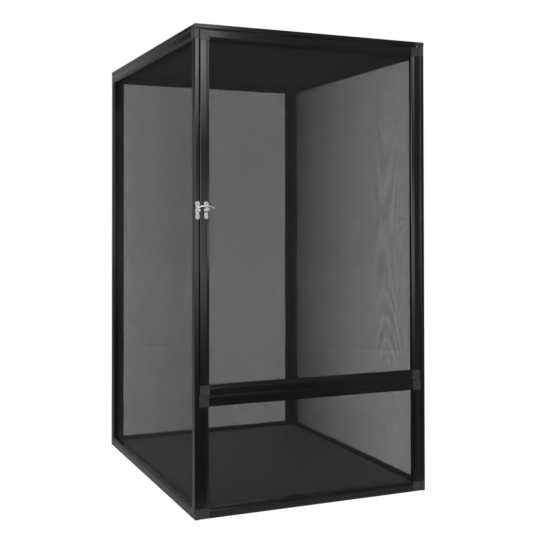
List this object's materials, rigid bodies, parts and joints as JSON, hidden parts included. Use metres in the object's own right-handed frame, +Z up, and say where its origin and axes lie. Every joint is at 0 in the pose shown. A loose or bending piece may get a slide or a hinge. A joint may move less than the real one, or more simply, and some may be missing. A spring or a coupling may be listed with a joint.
{
  "type": "reptile terrarium",
  "caption": "Tall free-standing screened cage on a frame of hollow bars and corner blocks, with a hinged front door, a hook-and-stud latch and a fixed screen below the door.",
  "frame": {"origin": "centre of the overall box on the surface that the cage stands on", "axes": "+Z up, -Y towards the front with the door, +X towards the hinge side of the door"},
  "size_m": [0.44, 0.506, 0.8],
  "materials": {
    "frame_bar": "satin black",
    "corner_block": "fine matte",
    "screen": "matte black woven wire",
    "spline": "matte",
    "floor": "matte sheet",
    "hinge_steel": "drawn",
    "nickel": "bright nickel",
    "frame_screw": "black oxide"
  },
  "bodies": {
    "cage": {"left_front_bar": "frame_bar", "left_rear_bar": "frame_bar", "left_top_bar": "frame_bar", "left_bottom_bar": "frame_bar", "left_corners": "corner_block", "left_mesh": "screen", "left_spline": "spline", "right_front_bar": "frame_bar", "right_rear_bar": "frame_bar", "right_top_bar": "frame_bar", "right_bottom_bar": "frame_bar", "right_corners": "corner_block", "right_mesh": "screen", "right_spline": "spline", "back_left_bar": "frame_bar", "back_right_bar": "frame_bar", "back_top_bar": "frame_bar", "back_bottom_bar": "frame_bar", "back_corners": "corner_block", "back_mesh": "screen", "back_spline": "spline", "top_left_bar": "frame_bar", "top_right_bar": "frame_bar", "top_rear_bar": "frame_bar", "top_front_bar": "frame_bar", "top_corners": "corner_block", "top_mesh": "screen", "top_spline": "spline", "base_left_bar": "frame_bar", "base_right_bar": "frame_bar", "base_rear_bar": "frame_bar", "base_front_bar": "frame_bar", "base_corners": "corner_block", "floor_sheet": "floor", "lower_left_bar": "frame_bar", "lower_right_bar": "frame_bar", "lower_top_bar": "frame_bar", "lower_bottom_bar": "frame_bar", "lower_corners": "corner_block", "lower_mesh": "screen", "lower_spline": "spline", "upper_hinge_pin": "hinge_steel", "lower_hinge_pin": "hinge_steel", "hinge_washer": "hinge_steel", "strike_plate": "nickel", "strike_screws": "nickel", "top_screws": "frame_screw", "side_screws": "frame_screw"},
    "door": {"door_latch_bar": "frame_bar", "door_hinge_bar": "frame_bar", "door_top_bar": "frame_bar", "door_bottom_bar": "frame_bar", "door_corners": "corner_block", "door_mesh": "screen", "door_spline": "spline", "pivot_plate": "nickel", "pivot_plate_screws": "nickel", "pivot_rivet": "nickel"},
    "latch_hook": {"hook": "nickel"}
  },
  "joints": [
    {"name": "door_swing", "type": "hinge", "parent": "cage", "child": "door", "pos_m": [0.208, -0.244, 0.5], "axis": [0, 0, 1], "range_deg": [0, 95]},
    {"name": "hook_turn", "type": "hinge", "parent": "door", "child": "latch_hook", "pos_m": [-0.2004, -0.2507, 0.497], "axis": [0, 1, 0], "range_deg": [0, 110]}
  ]
}
